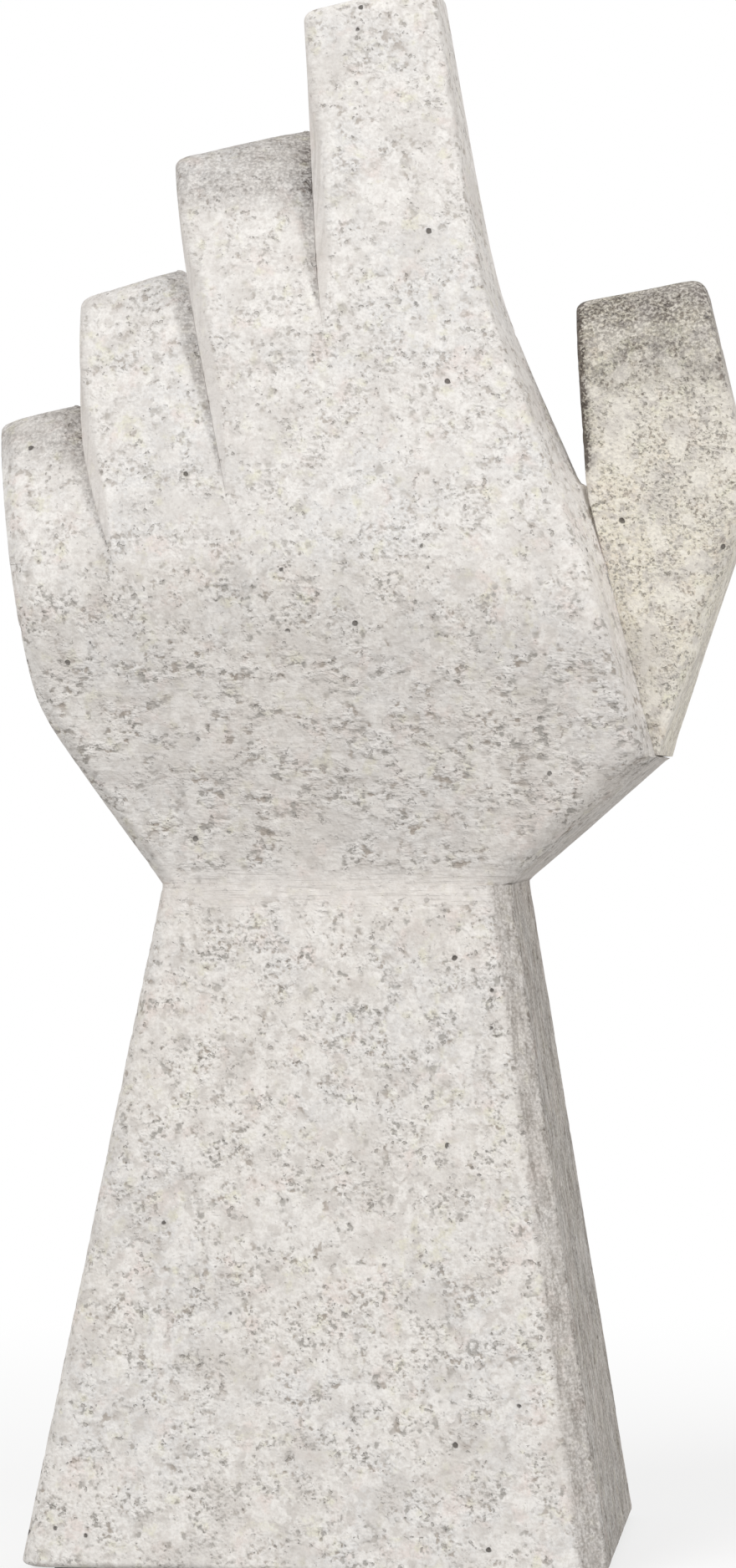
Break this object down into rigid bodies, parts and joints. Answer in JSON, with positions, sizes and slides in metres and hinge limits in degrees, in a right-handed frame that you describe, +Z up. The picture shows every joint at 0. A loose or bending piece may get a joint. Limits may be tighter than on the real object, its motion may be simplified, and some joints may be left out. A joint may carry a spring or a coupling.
{
  "type": "stone hand sculpture",
  "caption": "Block-like stone hand on a square tapering forearm, seen with stepped fingers and a raised thumb; stands on its flat base as an ornament",
  "frame": {"origin": "middle of the underside of the base pad, on the surface that the sculpture stands on", "axes": "+Z up along the forearm to the fingertips, -Y towards the back of the hand (the pictured side), +X towards the thumb"},
  "size_m": [0.2107, 0.1294, 0.4425],
  "materials": {
    "stone": "sawn and rubbed, matt, grey-cream with dark specks and pale grains",
    "warm_stone": "matt, yellower cream with a dark weathered tip",
    "joint_filler": "matt stone-coloured joint mortar",
    "dowel_steel": "plain stainless bar",
    "pad_felt": "dark grey felt"
  },
  "bodies": {
    "root": {"forearm": "stone", "palm": "stone", "index_finger": "stone", "middle_finger": "stone", "ring_finger": "stone", "little_finger": "stone", "thumb": "warm_stone", "wrist_bed": "joint_filler", "index_bed": "joint_filler", "middle_bed": "joint_filler", "ring_bed": "joint_filler", "little_bed": "joint_filler", "thumb_bed": "joint_filler", "wrist_dowel_left": "dowel_steel", "wrist_dowel_right": "dowel_steel", "index_dowel": "dowel_steel", "middle_dowel": "dowel_steel", "ring_dowel": "dowel_steel", "little_dowel": "dowel_steel", "thumb_dowel_front": "dowel_steel", "thumb_dowel_back": "dowel_steel", "base_pad": "pad_felt"}
  },
  "joints": []
}
